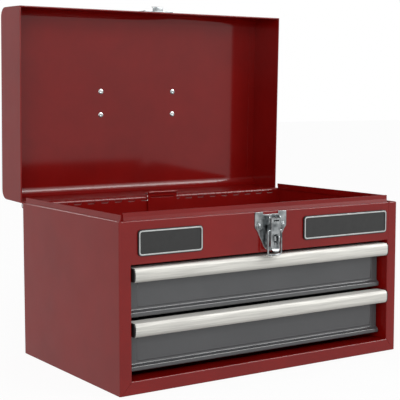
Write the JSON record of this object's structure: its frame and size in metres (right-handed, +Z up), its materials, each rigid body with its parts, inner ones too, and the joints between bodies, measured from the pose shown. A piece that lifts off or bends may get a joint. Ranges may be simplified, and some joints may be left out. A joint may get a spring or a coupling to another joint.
{
  "type": "portable tool box with drawers",
  "caption": "Portable steel tool box with a hinged lid over a deep top compartment, two sliding drawers below, a draw latch at the front and a folding carry handle.",
  "frame": {"origin": "centre of the case's underside, on the surface that it stands on", "axes": "+Z up, -Y towards the drawer fronts, +X to the right as seen from the front"},
  "size_m": [0.51, 0.4248, 0.5605],
  "materials": {
    "case_paint": "satin red powder coat",
    "drawer_paint": "satin dark grey powder coat",
    "anodised_aluminium": "brushed, clear anodised",
    "bright_nickel": "bright nickel plate",
    "zinc_plate": "zinc plated steel",
    "ball_steel": "polished steel balls",
    "badge_black": "gloss black with a silver border",
    "cap_black": "matt black moulding",
    "grip_black": "matt black moulding"
  },
  "bodies": {
    "case": {"left_side_panel": "case_paint", "right_side_panel": "case_paint", "back_panel": "case_paint", "floor_panel": "case_paint", "front_top_rail": "case_paint", "compartment_floor": "case_paint", "left_rear_bracket": "zinc_plate", "right_rear_bracket": "zinc_plate", "left_badge": "badge_black", "right_badge": "badge_black", "latch_base": "bright_nickel", "latch_rivets": "bright_nickel", "lever_pivot_pin": "zinc_plate", "padlock_staple": "bright_nickel", "hinge_pins": "zinc_plate", "lock_bar_guides": "zinc_plate", "lock_bar_spring": "zinc_plate", "upper_outer_slides": "zinc_plate", "lower_outer_slides": "zinc_plate"},
    "lid": {"lid_shell": "case_paint", "lid_left_end": "case_paint", "lid_right_end": "case_paint", "lid_catch": "bright_nickel", "catch_rivets": "bright_nickel", "lock_bar_pusher": "zinc_plate", "handle_brackets": "bright_nickel", "handle_rivets": "bright_nickel"},
    "carry_handle": {"carry_handle_bow": "zinc_plate", "carry_handle_grip": "grip_black"},
    "upper_drawer": {"upper_drawer_pan": "drawer_paint", "upper_drawer_front": "drawer_paint", "upper_pull": "anodised_aluminium", "upper_pull_caps": "cap_black", "upper_pull_screws": "zinc_plate", "upper_inner_slides": "zinc_plate", "upper_lock_catch": "zinc_plate"},
    "lower_drawer": {"lower_drawer_pan": "drawer_paint", "lower_drawer_front": "drawer_paint", "lower_pull": "anodised_aluminium", "lower_pull_caps": "cap_black", "lower_pull_screws": "zinc_plate", "lower_inner_slides": "zinc_plate", "lower_lock_catch": "zinc_plate"},
    "upper_cages": {"upper_ball_cages": "bright_nickel", "upper_balls": "ball_steel"},
    "lower_cages": {"lower_ball_cages": "bright_nickel", "lower_balls": "ball_steel"},
    "latch_lever": {"latch_lever": "bright_nickel"},
    "latch_bail": {"latch_bail": "bright_nickel"},
    "lock_bar": {"lock_bar": "case_paint", "lock_bar_hooks": "zinc_plate"}
  },
  "joints": [
    {"name": "lid_hinge", "type": "hinge", "parent": "case", "child": "lid", "pos_m": [0, 0.1584, 0.2376], "axis": [1, 0, 0], "range_deg": [0, 88.5]},
    {"name": "handle_fold", "type": "hinge", "parent": "lid", "child": "carry_handle", "pos_m": [0, 0.23962, 0.39818], "axis": [1, 0, 0], "range_deg": [0, 180]},
    {"name": "upper_drawer_slide", "type": "slide", "parent": "case", "child": "upper_drawer", "axis": [0, -1, 0], "range_m": [0, 0.19]},
    {"name": "lower_drawer_slide", "type": "slide", "parent": "case", "child": "lower_drawer", "axis": [0, -1, 0], "range_m": [0, 0.19]},
    {"name": "upper_cage_roll", "type": "slide", "parent": "case", "child": "upper_cages", "axis": [0, -1, 0], "range_m": [0, 0.095]},
    {"name": "lower_cage_roll", "type": "slide", "parent": "case", "child": "lower_cages", "axis": [0, -1, 0], "range_m": [0, 0.095]},
    {"name": "latch_lever_pivot", "type": "hinge", "parent": "case", "child": "latch_lever", "pos_m": [0, -0.163, 0.229], "axis": [-1, 0, 0], "range_deg": [0, 100]},
    {"name": "latch_bail_pivot", "type": "hinge", "parent": "latch_lever", "child": "latch_bail", "pos_m": [0, -0.166, 0.214], "axis": [1, 0, 0], "range_deg": [-187, 0]},
    {"name": "lock_bar_drop", "type": "slide", "parent": "case", "child": "lock_bar", "axis": [0, 0, -1], "range_m": [0, 0.008], "deforming": ["lock_bar_spring"]}
  ],
  "couplings": [
    {"joint": "upper_cage_roll", "follows": "upper_drawer_slide", "ratio": 0.5},
    {"joint": "lower_cage_roll", "follows": "lower_drawer_slide", "ratio": 0.5},
    {"joint": "lock_bar_drop", "follows": "lid_hinge", "m_per_rad": 0.0051793}
  ]
}
